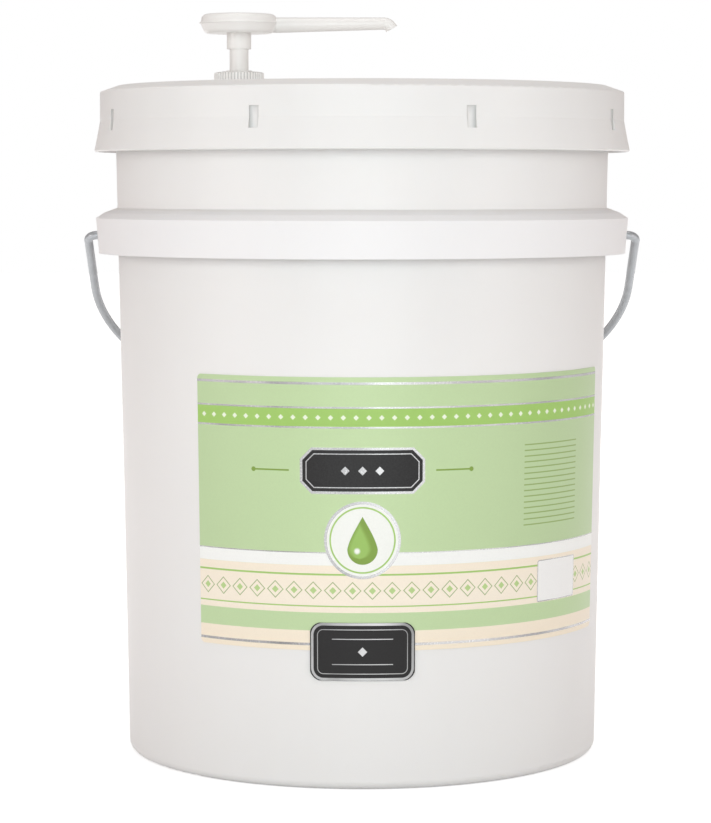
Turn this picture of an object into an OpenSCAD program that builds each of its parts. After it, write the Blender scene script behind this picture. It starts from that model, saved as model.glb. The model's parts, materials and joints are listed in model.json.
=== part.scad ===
// A round plastic pail with a press-on lid, a wire bail and a hand pump in the lid.
// The origin is the middle of the foot ring on the ground, +Z is up, the label
// faces -Y and the pump stands on the -X side.

/* [Pail] */
// Height of the pail to the top of its rim
pail_h = 382.7; // [360:0.1:410]
// Outer radius of the wall at the ground
pail_base_r = 137.8; // [125:0.5:145]
// Radius that the wall gains for each millimetre of height
wall_draft = 0.0173; // [0.01:0.0001:0.025]
// Thickness of the wall
pail_wall = 2.3; // [1.8:0.1:3]
// Thickness of the floor
floor_t = 2.5; // [2:0.1:4]
// Height of the foot ring under the floor
foot_h = 5.5; // [4.5:0.5:10]
// Width of the foot ring
foot_w = 7; // [6:0.5:12]
// Radius that rounds the bottom edge
base_round = 5; // [2:0.5:5]
// Number of ribs under the floor
base_ribs = 16; // [6:2:24]
// Thickness of a rib under the floor
base_rib_t = 2; // [1.2:0.1:3]
// Depth of a rib under the floor
base_rib_h = 2.6; // [1:0.1:3.5]
// Radius of the gate boss in the middle of the floor
gate_r = 14; // [8:1:25]
// Height of the bead round the rim
rim_bead_h = 7; // [5:0.5:10]
// How far the rim bead stands out from the wall
rim_bead_out = 4; // [3:0.1:6]

/* [Handle ring] */
// Height of the ring's lower edge above the ground
ring_z = 291.8; // [260:0.1:305]
// Height of the ring's skirt
ring_skirt_h = 20.5; // [17.5:0.1:26]
// How far the ring stands out from the wall
ring_out = 12.6; // [10:0.1:14]
// How far the skirt leans in at its lower edge
ring_lean = 1.6; // [0:0.1:2]
// Height of the sloping shoulder over the skirt
ring_shoulder_h = 6.4; // [4:0.1:9]
// Wall thickness of the ring
ring_wall = 2.2; // [1.6:0.1:3]
// Number of webs between the ring and the wall
ring_webs = 24; // [8:4:36]
// Thickness of a web
web_t = 1.7; // [1.2:0.1:3]
// How far the webs end above the skirt's lower edge
web_lift = 4; // [2:0.5:8]
// Outer radius of the ear bosses that hold the bail
ear_r = 8; // [6:0.5:9]
// Depth of the ear bores from the outside of the skirt
ear_bore_depth = 9; // [7:0.5:9.5]

/* [Bail] */
// Diameter of the wire
wire_d = 5; // [3.5:0.1:5]
// How far the arms stand out from the ring
arm_gap = 5.5; // [4:0.1:9]
// Bend radius where the wire turns out of the ear
elbow_r = 5.4; // [4.5:0.1:5.5]
// Length of the straight part of an arm, from the pivot line
arm_straight = 55; // [35:1:60]
// Bend radius of the long curve of the arm
arm_bend_r = 140; // [125:1:155]
// Angle of the long curve
arm_bend = 60; // [58:1:66]
// Half length of the straight part under the grip
grip_run = 48; // [46:0.5:55]
// Length of the grip
grip_len = 90; // [70:1:92]
// Diameter of the grip at its middle
grip_d = 24; // [20:0.5:28]
// Depth of the grooves round the grip
grip_groove = 0.9; // [0.4:0.1:1.5]
// Number of grooves round the grip
grip_grooves = 7; // [3:2:11]

/* [Lid] */
// Height of the crown over the gasket groove
crown_t = 4.3; // [3.6:0.1:7]
// How far the crown falls to the shoulder edge
crown_fall = 3.1; // [2:0.1:3.6]
// Width of the sloping part of the crown
crown_slope_w = 10; // [5:0.5:10]
// Radius that rounds the shoulder edge
shoulder_round = 1.2; // [0.6:0.1:1.5]
// Height of the outer skirt under the shoulder
lid_skirt_h = 35; // [32:0.5:45]
// Height of the flared lower part of the skirt
flare_h = 17.7; // [14:0.1:20]
// How far the flare stands out
flare_out = 3.3; // [1:0.1:5]
// Thickness of the skirt
lid_wall = 2.3; // [1.8:0.1:3]
// Gap between the rim bead and the skirt
skirt_gap = 2.35; // [1.5:0.05:4]
// Depth of the recess in the top of the lid
recess_depth = 15.6; // [10:0.1:20]
// Thickness of the panel
panel_t = 2.4; // [2:0.1:4]
// Thickness of the inner plug wall
plug_wall = 2.4; // [1.8:0.1:4]
// Radius of the raised ring on the panel
panel_ring_r = 112; // [95:1:120]
// Number of gussets round the recess
lid_gussets = 24; // [8:4:36]
// Thickness of a gusset
gusset_t = 1.6; // [1:0.1:3]
// Reach of a gusset across the panel
gusset_w = 7; // [4:0.5:10]
// Number of pry slots round the skirt
pry_slots = 8; // [4:2:12]
// Height of a pry slot
slot_h = 12; // [8:0.5:13]
// Width of a pry slot
slot_w = 5.6; // [4:0.1:6.5]
// Radius of the hollow of a pry slot
slot_r = 4.5; // [3.8:0.1:6]
// Depth of a pry slot
slot_depth = 1.9; // [1:0.1:2]
// Number of catch lugs inside the skirt
catch_lugs = 16; // [8:4:24]
// Angle that a catch lug covers
lug_angle = 9; // [4:1:12]
// Thickness of the lid gasket
gasket_t = 1.6; // [1:0.1:2.5]

/* [Label] */
// Height of the label's lower edge above the ground
label_z = 77.7; // [50:0.1:90]
// Height of the label
label_h = 150; // [100:1:170]
// Angle of the label's left edge from the front
label_left = 40; // [20:0.5:60]
// Angle of the label's right edge from the front
label_right = 70.3; // [40:0.1:85]
// Thickness of the label
label_t = 0.25; // [0.1:0.05:0.5]
// Radius of the label's corners
label_round = 3; // [1:0.5:8]
// Width of the badge
badge_w = 57; // [40:1:70]
// Height of the badge
badge_h = 32; // [20:1:40]
// Radius of the badge's corners
badge_round = 7; // [2:0.5:10]
// How far the badge reaches below the label
badge_drop = 16.5; // [5:0.5:24]

/* [Pump neck and closure] */
// Distance of the pump from the middle of the lid
pump_off = 72; // [50:1:85]
// Height of the neck on the panel
neck_h = 16.3; // [14:0.1:22]
// Radius of the neck's bore
neck_bore_r = 10.7; // [9.8:0.1:12]
// Wall thickness of the neck
neck_wall = 1.6; // [1.5:0.1:3]
// Thickness of the neck gasket
neck_gasket_t = 1.2; // [0.8:0.1:2]
// Gap between neck and closure that the threads take up
thread_gap = 0.8; // [0.4:0.1:1.2]
// Wall thickness of the closure
closure_wall = 1; // [0.9:0.1:2]
// Gap between the closure and the panel
closure_lift = 1.4; // [0.6:0.1:3]
// Thickness of the closure's top at its edge
closure_top_t = 2.8; // [2:0.1:3]
// Rise of the closure's top towards the stem
closure_dome = 0.6; // [0:0.1:0.8]
// Number of grip ribs round the closure
closure_ribs = 48; // [24:4:72]
// Height of a grip rib
closure_rib = 0.5; // [0.2:0.05:0.6]

/* [Pump body] */
// Radius of the housing's bore
barrel_r = 8.9; // [8.4:0.05:9.2]
// Wall thickness of the housing
barrel_wall = 1.2; // [0.8:0.05:1.4]
// Thickness of the housing's flange
flange_t = 2; // [1.5:0.1:3]
// Length of the housing's bore under the flange
barrel_len = 68; // [62:0.5:90]
// Thickness of the inlet seat
seat_t = 3; // [2:0.1:5]
// Length of the socket for the dip tube
socket_len = 14; // [8:0.5:25]
// Height of the collar's shoulder over the flange
collar_shoulder_t = 1.6; // [1:0.1:3]
// Radius of the collar's boss in the closure
collar_boss_r = 7.9; // [7:0.1:9]
// Height of the boss over the shoulder
collar_boss_h = 4; // [3.6:0.1:6]
// Depth of the collar in the housing
collar_depth = 14.5; // [12:0.5:20]
// Thickness of the stem seal
stem_seal_t = 2.4; // [1.5:0.1:4]
// Width of the stem seal
stem_seal_w = 1.8; // [1.4:0.1:2]
// Outer diameter of the dip tube
dip_d = 7.2; // [6:0.1:8]
// Wall thickness of the dip tube
dip_wall = 1; // [0.8:0.1:1.4]
// Gap between the dip tube and the pail's floor
dip_gap = 3.5; // [2:0.5:15]
// Diameter of the inlet ball
inlet_ball_d = 6.4; // [5:0.1:7]
// Travel of the inlet ball
inlet_travel = 1.8; // [1:0.1:3]
// Height of the ball cage that the spring stands on
cage_h = 10; // [9.5:0.5:12]
// Diameter of the spring wire
spring_wire_d = 1.2; // [0.8:0.1:1.4]
// Mean radius of the spring
spring_r = 6.4; // [6:0.1:7]
// Number of turns of the spring
spring_turns = 7; // [4:0.5:9]

/* [Piston and stem] */
// Diameter of the stem
stem_d = 11; // [10:0.1:12]
// Radius of the bore through the stem
stem_bore_r = 2; // [1.5:0.1:2.5]
// Length of stem that shows between collar and head
stem_show = 12.5; // [12.1:0.1:20]
// Height of the stem's stop shoulder
stop_h = 3.4; // [2:0.1:6]
// Radius of the stop shoulder
stop_r = 8; // [7:0.1:8.1]
// Height of the piston
piston_h = 10; // [8:0.5:14]
// Height of the foot that holds the piston
stem_foot_h = 1.6; // [1.2:0.1:3]
// Diameter of the outlet ball
outlet_ball_d = 4.8; // [4.4:0.1:5.2]
// Travel of the outlet ball
outlet_travel = 1.5; // [1:0.1:2]

/* [Head and spout] */
// Radius of the head
head_r = 22.2; // [18:0.1:28]
// Height of the lower half of the head
head_low_h = 6.1; // [5:0.1:9]
// Height of the upper half of the head
head_cap_h = 5.5; // [5:0.1:9]
// Wall thickness of the head
head_wall = 1.6; // [1.2:0.1:2]
// How far the lower half draws in at the bottom
head_taper = 1.7; // [0.5:0.1:4]
// How far the lip at the parting line stands out
head_lip = 0.9; // [0:0.1:1.5]
// Radius that rounds the top edge
head_round = 3; // [1.5:0.1:4]
// Radius of the sleeve under the head
sleeve_r = 7.1; // [6.8:0.1:9]
// Length of the sleeve under the head
sleeve_len = 9.2; // [6:0.1:14]
// Length of the spout from the head's side to the bend
spout_len = 63.2; // [30:0.1:90]
// Diameter of the spout at the head
spout_root_d = 9; // [8.4:0.1:10]
// Diameter of the spout at the tip
spout_tip_d = 7.1; // [6.5:0.1:8]
// Bend radius of the tip
tip_bend_r = 5.2; // [5:0.1:9]
// Angle that the tip turns down
tip_bend = 60; // [20:0.1:90]
// Length of the tip past the bend
tip_len = 0.5; // [0.5:0.1:8]
// Diameter of the bore through the spout
spout_bore_d = 4.6; // [3:0.1:5]
// Length of the spout's plug in the head
plug_len = 12; // [6:0.5:13]

/* [Clearances] */
// Radial clearance of a turning fit
run_fit = 0.1; // [0.05:0.01:0.1]
// Clearance between seated pieces
seat_gap = 0.15; // [0.1:0.05:0.3]
// Clearance between pieces that move past each other
pass_gap = 0.4; // [0.3:0.05:0.6]

/* [Hidden] */

$fn = 96;
eps = 0.01;

// Pail: the outside of the drafted wall at a height, and the levels that follow from it.
function wall_r(z) = pail_base_r + wall_draft * z;
floor_z = foot_h + floor_t;
rim_r = wall_r(pail_h) + rim_bead_out;
rim_round = min(2, rim_bead_out / 2);

// Handle ring: the shoulder's foot on the wall, the skirt's upper edge and the pivot.
ring_top_z = ring_z + ring_skirt_h;
ring_crest_z = ring_top_z + ring_shoulder_h;
ring_r = wall_r(ring_top_z) + ring_out;
shoulder_knee_w = ring_out * 0.4;
shoulder_knee_z = ring_crest_z - ring_shoulder_h * 0.5;
pivot_z = ring_z + ring_skirt_h / 2;
seam_z = pivot_z - ear_r - 0.5;

// Bail: drawn flat, x across and y away from the pivot line, then tilted on to the wall.
wire_r = wire_d / 2;
arm_x = ring_r + arm_gap;
bail_bend_x = arm_x - arm_bend_r * (1 - cos(arm_bend));
top_bend_r = (bail_bend_x - grip_run) / cos(arm_bend);
bail_bend_y = arm_straight + arm_bend_r * sin(arm_bend);
bail_reach = bail_bend_y + top_bend_r * (1 - sin(arm_bend));
grip_seat = grip_d / 2 + 2 * seat_gap;
function tilt(n, a) = n == 0 ? a
  : tilt(n - 1, asin((wall_r(pivot_z - bail_reach * cos(a)) + grip_seat) / bail_reach));
bail_tilt = tilt(8, 55);
stub_end_x = ring_r - ear_bore_depth + 2 * seat_gap;

// Lid: levels from the gasket groove up, radii from the plug out.
groove_z = pail_h + seat_gap + gasket_t;
crown_z = groove_z + crown_t;
shoulder_z = crown_z - crown_fall;
lid_edge_z = shoulder_z - lid_skirt_h;
flare_z = lid_edge_z + flare_h;
panel_z = crown_z - recess_depth;
skirt_in_r = rim_r + skirt_gap;
skirt_r = skirt_in_r + lid_wall;
plug_r = wall_r(panel_z - panel_t) - pail_wall - pass_gap;
recess_r = plug_r - plug_wall;
slot_band_z = flare_z;
slot_x = skirt_r - slot_depth + slot_r;
lug_top_z = pail_h - rim_bead_h - 2 * seat_gap;
lug_r = rim_r + pass_gap;

// Pump: levels from the neck up and down.
neck_r = neck_bore_r + neck_wall;
neck_z = panel_z + neck_h;
flange_z = neck_z + neck_gasket_t;
flange_top_z = flange_z + flange_t;
collar_top_z = flange_top_z + collar_shoulder_t + collar_boss_h;
closure_z = panel_z + closure_lift;
closure_in_r = neck_r + thread_gap;
closure_r = closure_in_r + closure_wall;
ceiling_z = flange_top_z + collar_shoulder_t + seat_gap;
closure_top_z = ceiling_z + closure_top_t;
collar_bottom_z = flange_top_z - collar_depth;
barrel_floor_z = flange_z - barrel_len;
socket_z = barrel_floor_z - seat_t - socket_len;
housing_r = barrel_r + barrel_wall;
dip_r = dip_d / 2;
socket_r = dip_r + 1.6;
dip_bottom_z = floor_z + dip_gap;
dip_top_z = barrel_floor_z - seat_t - seat_gap;
inlet_ball_r = inlet_ball_d / 2;
inlet_hole_r = inlet_ball_r * 0.8;
inlet_ball_z = barrel_floor_z + sqrt(pow(inlet_ball_r, 2) - pow(inlet_hole_r, 2)) + seat_gap;
cage_z = barrel_floor_z + cage_h;
cage_roof_z = inlet_ball_z + inlet_ball_r + inlet_travel + seat_gap;

// Stem and piston, hung under the collar.
stem_r = stem_d / 2;
stop_top_z = collar_bottom_z - seat_gap;
piston_top_z = stop_top_z - stop_h - seat_gap;
piston_z = piston_top_z - piston_h;
foot_top_z = piston_z - seat_gap;
stem_bottom_z = foot_top_z - stem_foot_h;
sleeve_z = collar_top_z + stem_show;
head_z = sleeve_z + sleeve_len;
stem_top_z = head_z - 2;
outlet_ball_r = outlet_ball_d / 2;
valve_r = outlet_ball_r + 0.4;
outlet_seat_z = stem_top_z - outlet_ball_d - outlet_travel;
outlet_seat_drop = sqrt(pow(outlet_ball_r, 2) - pow(stem_bore_r, 2));
outlet_ball_z = outlet_seat_z + outlet_seat_drop + seat_gap;

// Head: the parting line, the spout's place and the socket that takes its plug.
parting_z = head_z + head_low_h;
head_bottom_r = head_r - head_taper;
spout_z = head_z + spout_root_d / 2 + 0.2;
spout_plug_r = spout_root_d / 2 - 1.2;
spout_root_x = head_r - 0.8;
bend_x = spout_root_x + spout_len;
bend_top_z = spout_z + spout_root_d / 2;
bend_z = bend_top_z - spout_tip_d / 2;
spout_pitch = atan((bend_z - spout_z) / spout_len);

// Label: its place on the wall, with the angle 0 at the front.
badge_z = label_z - badge_drop;

module at_pump() {
  translate([-pump_off, 0, 0]) children();
}

// A plate of the given thickness, cut from a section that is revolved about the axis.
module radial_plate(r, t) {
  a = 2 * asin(t / 2 / r);
  rotate([0, 0, -a / 2]) rotate_extrude(angle = a) children();
}

// ---- Pail ----

module pail_wall_section() {
  base_x = wall_r(base_round) - base_round;
  difference() {
    union() {
      polygon([
        [0, foot_h], [wall_r(0) - foot_w, foot_h], [wall_r(0) - foot_w, 0], [base_x, 0],
        [base_x, base_round], [wall_r(base_round), base_round], [wall_r(pail_h), pail_h],
        [0, pail_h]
      ]);
      translate([base_x, base_round]) circle(base_round);
    }
    polygon([
      [-1, floor_z], [wall_r(floor_z) - pail_wall, floor_z],
      [wall_r(pail_h + 1) - pail_wall, pail_h + 1], [-1, pail_h + 1]
    ]);
  }
}

module rim_bead_section() {
  inner = wall_r(pail_h) - pail_wall / 2;
  low = pail_h - rim_bead_h;
  translate([inner, low + rim_round]) square([rim_r - inner, rim_bead_h - 2 * rim_round]);
  translate([inner, low]) square([rim_r - rim_round - inner, rim_bead_h]);
  for (z = [low + rim_round, pail_h - rim_round])
    translate([rim_r - rim_round, z]) circle(rim_round);
}

// The space between the wall and the ring's outside, less an inset. The root is its depth in the wall.
module ring_envelope(inset, root) {
  polygon([
    [wall_r(ring_z) - root, ring_z - eps],
    [ring_r - ring_lean - inset, ring_z - eps],
    [ring_r - inset, ring_top_z - inset * 0.4],
    [ring_r - shoulder_knee_w - inset * 0.3, shoulder_knee_z - inset],
    [wall_r(ring_crest_z) - root, ring_crest_z - inset]
  ]);
}

module handle_ring() {
  rotate_extrude() difference() {
    ring_envelope(0, pail_wall / 2);
    ring_envelope(ring_wall, pail_wall);
    translate([0, ring_z - 1]) square([ring_r, 1]);
  }
  for (i = [0:ring_webs - 1]) {
    rotate([0, 0, (i + 0.5) * 360 / ring_webs]) radial_plate(ring_r, web_t) intersection() {
      ring_envelope(ring_wall / 2, pail_wall / 2);
      translate([0, ring_z + web_lift]) square([ring_r, ring_skirt_h + ring_shoulder_h]);
    }
  }
}

module ear_bosses() {
  intersection() {
    translate([0, 0, pivot_z]) rotate([0, 90, 0]) cylinder(r = ear_r, h = 2 * ring_r, center = true);
    difference() {
      rotate_extrude() ring_envelope(ring_wall / 2, pail_wall / 2);
      cylinder(r = wall_r(ring_z) - pail_wall / 2, h = pail_h);
    }
  }
}

module ear_bores() {
  for (side = [0, 180]) {
    rotate([0, 0, side]) translate([ring_r - ear_bore_depth, 0, pivot_z]) rotate([0, 90, 0])
      cylinder(r = wire_r + run_fit, h = ear_bore_depth + 2);
  }
}

module base_web() {
  reach = wall_r(0) - foot_w + 1;
  for (i = [0:base_ribs - 1]) {
    rotate([0, 0, i * 360 / base_ribs]) translate([gate_r - 1, -base_rib_t / 2, foot_h - base_rib_h])
      cube([reach - gate_r + 1, base_rib_t, base_rib_h + 1]);
  }
  translate([0, 0, foot_h - base_rib_h]) cylinder(r = gate_r, h = base_rib_h + 1);
}

module pail() {
  color("whitesmoke") {
    rotate_extrude() intersection() {
      pail_wall_section();
      square([rim_r, seam_z]);
    }
    base_web();
  }
}

// The upper end of the same moulding, from the seam behind the ring's skirt to the rim.
module pail_rim() {
  color("whitesmoke") difference() {
    union() {
      rotate_extrude() {
        intersection() {
          pail_wall_section();
          translate([0, seam_z]) square([rim_r, pail_h]);
        }
        rim_bead_section();
      }
      handle_ring();
      ear_bosses();
    }
    ear_bores();
  }
}

// ---- Label ----

// A patch of the wall between two angles and two heights, off the wall by a gap.
module wall_patch(a0, a1, z0, z1, gap, t) {
  rotate([0, 0, a0 - 90]) rotate_extrude(angle = a1 - a0) polygon([
    [wall_r(z0) + gap, z0], [wall_r(z0) + gap + t, z0],
    [wall_r(z1) + gap + t, z1], [wall_r(z1) + gap, z1]
  ]);
}

// What is taken off one corner of a patch, so that the corner is rounded.
module corner_cutter(a, z, da, dz, r) {
  wall = wall_r(z);
  rotate([0, 0, a - 90]) rotate([90, 0, 90]) translate([0, z, wall - 5])
    linear_extrude(10) difference() {
      translate([da > 0 ? -1 : -r, dz > 0 ? -1 : -r]) square(r + 1);
      translate([da * r, dz * r] * 0.97) circle(r, $fn = 32);
    }
}

module rounded_patch(a0, a1, z0, z1, gap, t, r) {
  difference() {
    wall_patch(a0, a1, z0, z1, gap, t);
    for (z = [[z0, 1], [z1, -1]]) {
      corner_cutter(a0, z[0], 1, z[1], r);
      corner_cutter(a1, z[0], -1, z[1], r);
    }
  }
}

module label() {
  color("darkseagreen")
    rounded_patch(-label_left, label_right, label_z, label_z + label_h, seat_gap, label_t, label_round);
}

module label_badge() {
  half = asin(badge_w / 2 / wall_r(badge_z));
  color("black") rounded_patch(
    -half, half, badge_z, badge_z + badge_h, 1.5 * seat_gap + label_t, label_t, badge_round
  );
}

// ---- Bail ----

module wire_arc(r, a0, a1) {
  rotate([0, 0, a0]) rotate_extrude(angle = a1 - a0) translate([r, 0]) circle(wire_r, $fn = 32);
}

// Closes the joint between two lengths of wire with a band a hair larger than the wire.
module wire_band(x, y, turn) {
  translate([x, y, 0]) rotate([90, 0, turn]) cylinder(r = wire_r + 0.03, h = 0.5, center = true);
}

module half_bail() {
  elbow_x = arm_x - elbow_r;
  translate([stub_end_x, 0, 0]) rotate([0, 90, 0]) cylinder(r = wire_r, h = elbow_x - stub_end_x);
  wire_band(elbow_x, 0, 90);
  translate([elbow_x, elbow_r, 0]) wire_arc(elbow_r, -90, 0);
  wire_band(arm_x, elbow_r, 0);
  translate([arm_x, elbow_r, 0]) rotate([-90, 0, 0]) cylinder(r = wire_r, h = arm_straight - elbow_r);
  wire_band(arm_x, arm_straight, 0);
  translate([arm_x - arm_bend_r, arm_straight, 0]) wire_arc(arm_bend_r, 0, arm_bend);
  wire_band(bail_bend_x, bail_bend_y, arm_bend);
  translate([grip_run, bail_reach - top_bend_r, 0]) wire_arc(top_bend_r, arm_bend, 90);
  wire_band(grip_run, bail_reach, 90);
}

module bail_pose() {
  translate([0, 0, pivot_z]) rotate([bail_tilt - 90, 0, 0]) children();
}

module bail_wire() {
  color("silver") bail_pose() {
    half_bail();
    mirror([1, 0, 0]) half_bail();
    translate([-grip_run, bail_reach, 0]) rotate([0, 90, 0]) cylinder(r = wire_r, h = 2 * grip_run);
  }
}

module grip_section() {
  end_r = grip_d / 2 - 1.5;
  pitch = (grip_len - 16) / (grip_grooves + 1);
  difference() {
    union() {
      translate([wire_r + run_fit, -grip_len / 2]) square([end_r - wire_r - run_fit - 2, grip_len]);
      translate([wire_r + run_fit, -grip_len / 2 + 2]) square([end_r - wire_r - run_fit, grip_len - 4]);
      for (end = [-1, 1]) translate([end_r - 2, end * (grip_len / 2 - 2)]) circle(2);
      polygon([
        [end_r - 1, 8 - grip_len / 2], [end_r, 8 - grip_len / 2], [grip_d / 2, -grip_len / 5],
        [grip_d / 2, grip_len / 5], [end_r, grip_len / 2 - 8], [end_r - 1, grip_len / 2 - 8]
      ]);
    }
    for (i = [1:grip_grooves]) {
      translate([grip_d / 2 + 1.2, 8 - grip_len / 2 + i * pitch]) circle(1.2 + grip_groove, $fn = 48);
    }
  }
}

module bail_grip() {
  color("whitesmoke") bail_pose() translate([0, bail_reach, 0]) rotate([0, 90, 0])
    rotate_extrude() grip_section();
}

// ---- Lid ----

module lid_section() {
  lip = 1.1;
  difference() {
    union() {
      polygon([
        [0, panel_z - panel_t], [plug_r - 1, panel_z - panel_t], [plug_r, panel_z - panel_t + 1.5],
        [plug_r, groove_z], [skirt_in_r - 1.5, groove_z], [skirt_in_r, groove_z - 1.5],
        [skirt_in_r, flare_z], [skirt_in_r + flare_out, lid_edge_z],
        [skirt_r + flare_out - lip, lid_edge_z], [skirt_r + flare_out, lid_edge_z + lip],
        [skirt_r, flare_z], [skirt_r, shoulder_z - shoulder_round],
        [skirt_r - shoulder_round, shoulder_z], [skirt_r - crown_slope_w, crown_z],
        [recess_r + 1.5, crown_z], [recess_r, crown_z - 1.5], [recess_r, panel_z], [0, panel_z]
      ]);
      translate([skirt_r + flare_out - lip, lid_edge_z + lip]) circle(lip);
      translate([skirt_r - shoulder_round, shoulder_z - shoulder_round]) circle(shoulder_round);
      translate([panel_ring_r, panel_z - eps]) square([3, 1.2]);
      translate([recess_r + 1.5, crown_z - 1.5]) circle(1.5);
    }
    translate([-5, panel_z - panel_t]) square([5, panel_t + 2]);
  }
}

module catch_lug() {
  rotate([0, 0, -lug_angle / 2]) rotate_extrude(angle = lug_angle) polygon([
    [skirt_in_r + lid_wall / 2, lug_top_z - 6], [lug_r, lug_top_z - 2],
    [lug_r, lug_top_z - 0.6], [skirt_in_r + lid_wall / 2, lug_top_z]
  ]);
}

module lid_gusset() {
  radial_plate(recess_r, gusset_t) polygon([
    [recess_r + plug_wall / 2, panel_z - panel_t / 2], [recess_r + plug_wall / 2, crown_z - 2.5],
    [recess_r, crown_z - 2.5], [recess_r - gusset_w, panel_z], [recess_r - gusset_w, panel_z - panel_t / 2]
  ]);
}

// A pry slot's hollow, or with grow the block that backs it inside the skirt.
module slot_column(grow) {
  low = slot_band_z - slot_h / 2 - grow;
  intersection() {
    translate([slot_x, 0, low]) cylinder(r = slot_r + grow, h = slot_h + 2 * grow);
    translate([0, -slot_w / 2 - grow, low - 1]) cube([2 * skirt_r, slot_w + 2 * grow, slot_h + 2 * grow + 2]);
  }
}

module lid() {
  color("whitesmoke") difference() {
    union() {
      rotate_extrude() lid_section();
      for (i = [0:catch_lugs - 1]) rotate([0, 0, i * 360 / catch_lugs]) catch_lug();
      for (i = [0:lid_gussets - 1]) rotate([0, 0, (i + 0.5) * 360 / lid_gussets]) lid_gusset();
      for (i = [0:pry_slots - 1]) rotate([0, 0, (i + 0.5) * 360 / pry_slots]) intersection() {
        slot_column(1.3);
        cylinder(r = skirt_r - lid_wall / 2, h = pail_h + 20);
      }
      at_pump() translate([0, 0, panel_z - panel_t / 2]) cylinder(r = neck_r, h = neck_h + panel_t / 2);
      at_pump() translate([0, 0, panel_z - panel_t / 2]) cylinder(r = neck_r + 6, h = panel_t / 2 + 0.6);
    }
    for (i = [0:pry_slots - 1]) rotate([0, 0, (i + 0.5) * 360 / pry_slots]) slot_column(0);
    at_pump() translate([0, 0, panel_z - panel_t - 1]) cylinder(r = neck_bore_r, h = neck_h + panel_t + 2);
  }
}

module lid_gasket() {
  inner = wall_r(pail_h) - pail_wall;
  color("gainsboro") translate([0, 0, groove_z - gasket_t]) difference() {
    cylinder(r = rim_r - 0.4, h = gasket_t);
    translate([0, 0, -1]) cylinder(r = inner + 0.3, h = gasket_t + 2);
  }
}

// ---- Closure and neck seal ----

module closure_outline() {
  step = 360 / closure_ribs;
  polygon([for (i = [0:closure_ribs - 1], k = [0:3])
    let (r = closure_r + (k == 0 || k == 3 ? 0 : closure_rib), a = (i + [0, 0.2, 0.6, 0.8][k]) * step)
      [r * cos(a), r * sin(a)]]);
}

module closure_top_section() {
  polygon([
    [0, closure_top_z - closure_top_t], [closure_r, closure_top_z - closure_top_t],
    [closure_r, closure_top_z - 0.6], [closure_r - 0.6, closure_top_z],
    [collar_boss_r + pass_gap, closure_top_z + closure_dome], [0, closure_top_z + closure_dome]
  ]);
}

module pump_closure() {
  color("ivory") at_pump() difference() {
    union() {
      translate([0, 0, closure_z]) linear_extrude(closure_top_z - closure_z - 0.4) closure_outline();
      rotate_extrude() closure_top_section();
    }
    translate([0, 0, closure_z - 1]) cylinder(r = closure_in_r, h = ceiling_z - closure_z + 1);
    translate([0, 0, ceiling_z - 1]) cylinder(r = collar_boss_r + pass_gap, h = 10);
  }
}

module neck_gasket() {
  color("gainsboro") at_pump() translate([0, 0, neck_z]) difference() {
    cylinder(r = neck_r - 0.1, h = neck_gasket_t);
    translate([0, 0, -1]) cylinder(r = housing_r + 0.2, h = neck_gasket_t + 2);
  }
}

// ---- Pump body ----

module housing_section() {
  cone_z = barrel_floor_z - seat_t;
  polygon([
    [0, socket_z], [socket_r, socket_z], [socket_r, cone_z - 1], [housing_r, barrel_floor_z],
    [housing_r, flange_z], [neck_r - 0.1, flange_z], [neck_r - 0.1, flange_top_z], [0, flange_top_z]
  ]);
}

module pump_housing() {
  color("ghostwhite") at_pump() difference() {
    rotate_extrude() housing_section();
    translate([0, 0, barrel_floor_z]) cylinder(r = barrel_r, h = barrel_len + flange_t + 1);
    translate([0, 0, socket_z - 1]) cylinder(r = dip_r + eps, h = socket_len + 1);
    translate([0, 0, socket_z + socket_len - 1]) cylinder(r = inlet_hole_r, h = seat_t + 2);
    translate([pass_gap - housing_r - 1, 0, flange_z - 8]) rotate([0, 90, 0])
      cylinder(r = 0.8, h = 3, $fn = 24);
  }
}

module pump_collar() {
  shoulder_r = barrel_r + barrel_wall;
  color("ivory") at_pump() difference() {
    union() {
      translate([0, 0, collar_bottom_z]) cylinder(r = barrel_r - 0.05, h = collar_depth);
      translate([0, 0, flange_top_z]) cylinder(r = shoulder_r, h = collar_shoulder_t);
      translate([0, 0, flange_top_z]) cylinder(r = collar_boss_r, h = collar_shoulder_t + collar_boss_h - 0.6);
      translate([0, 0, collar_top_z - 0.6]) cylinder(r1 = collar_boss_r, r2 = collar_boss_r - 0.6, h = 0.6);
    }
    translate([0, 0, collar_bottom_z - 1]) cylinder(r = stem_r + run_fit, h = collar_depth + 12);
    translate([0, 0, collar_bottom_z - 1]) cylinder(r = stem_r + run_fit + stem_seal_w, h = stem_seal_t + 1);
  }
}

module stem_seal() {
  color("dimgray") at_pump() translate([0, 0, collar_bottom_z]) difference() {
    cylinder(r = stem_r + run_fit + stem_seal_w - 0.02, h = stem_seal_t - 0.02);
    translate([0, 0, -1]) cylinder(r = stem_r + run_fit, h = stem_seal_t + 2);
  }
}

module spring_seat() {
  color("ghostwhite") at_pump() difference() {
    union() {
      translate([0, 0, barrel_floor_z]) cylinder(r = barrel_r - 0.05, h = 1.8);
      translate([0, 0, barrel_floor_z]) cylinder(r = inlet_ball_r + 1.5, h = cage_h - 1.6);
      translate([0, 0, cage_z - 1.6]) cylinder(r = spring_r + spring_wire_d, h = 1.6);
    }
    translate([0, 0, barrel_floor_z - 1]) cylinder(r = inlet_ball_r + 0.35, h = cage_roof_z - barrel_floor_z + 1);
    translate([0, 0, barrel_floor_z]) cylinder(r = inlet_ball_r * 0.6, h = cage_h + 1);
    for (a = [0, 60, 120]) rotate([0, 0, a]) translate([0, 0, barrel_floor_z + 4])
      cube([4 * inlet_ball_r, 1.6, 3.2], center = true);
  }
}

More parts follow.
